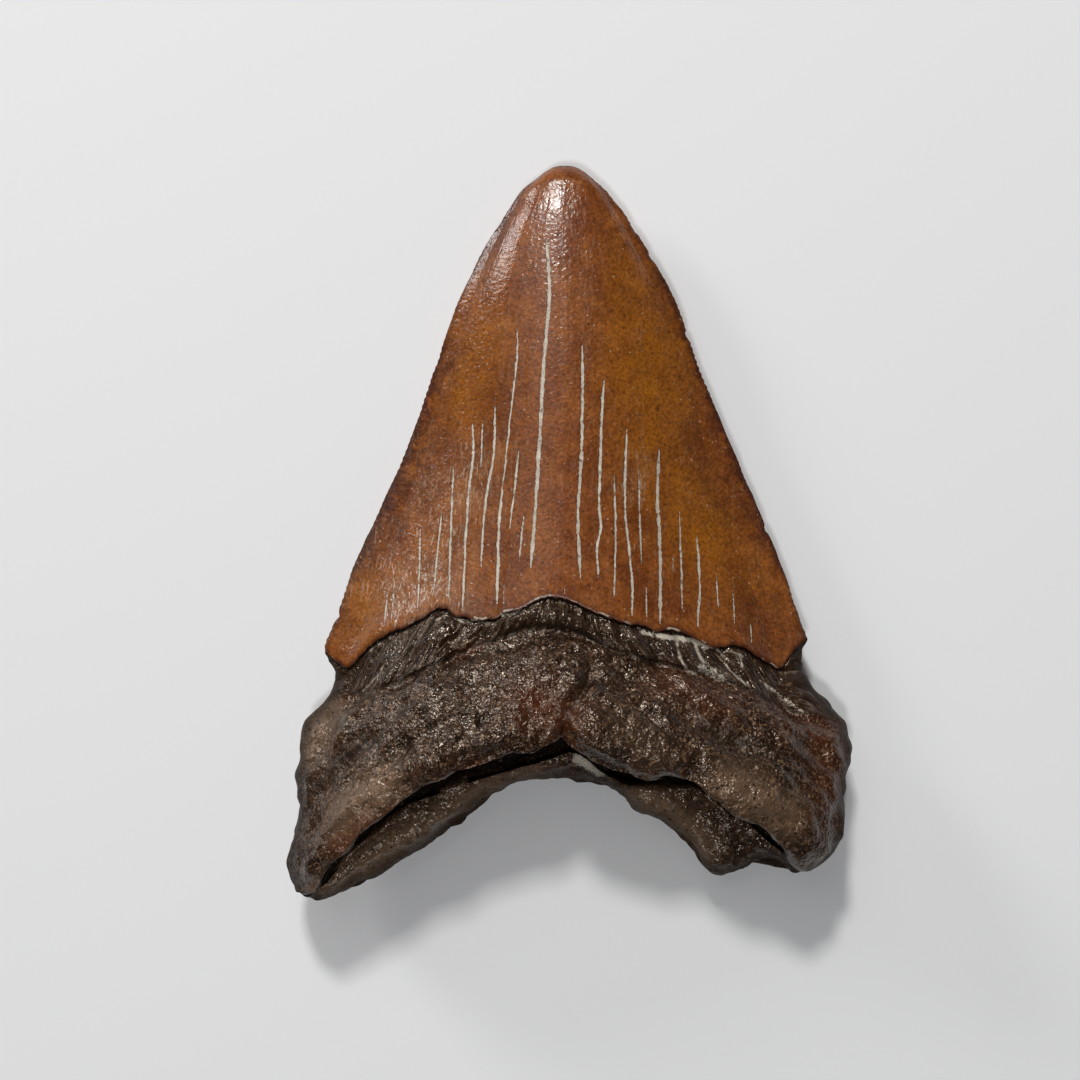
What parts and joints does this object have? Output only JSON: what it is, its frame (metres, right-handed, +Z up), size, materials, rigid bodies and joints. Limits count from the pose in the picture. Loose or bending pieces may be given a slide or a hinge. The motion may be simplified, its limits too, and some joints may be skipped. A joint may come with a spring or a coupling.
{
  "type": "fossil shark tooth",
  "caption": "Large fossil shark tooth lying on its flat side: a triangular enamel crown with worn, finely notched edges on a thick, two-lobed, arched root.",
  "frame": {"origin": "centre of the bounding box's bottom face, on the plane the tooth rests on", "axes": "+Y from the root to the tip, +X to the right as the display face is seen, +Z up out of the display (lingual) face"},
  "size_m": [0.0773, 0.102, 0.023],
  "materials": {
    "fossil_tooth": "glossy orange-brown enamel crown with pale healed cracks, over a dark brown grainy root"
  },
  "bodies": {
    "root": {"tooth": "fossil_tooth"}
  },
  "joints": []
}
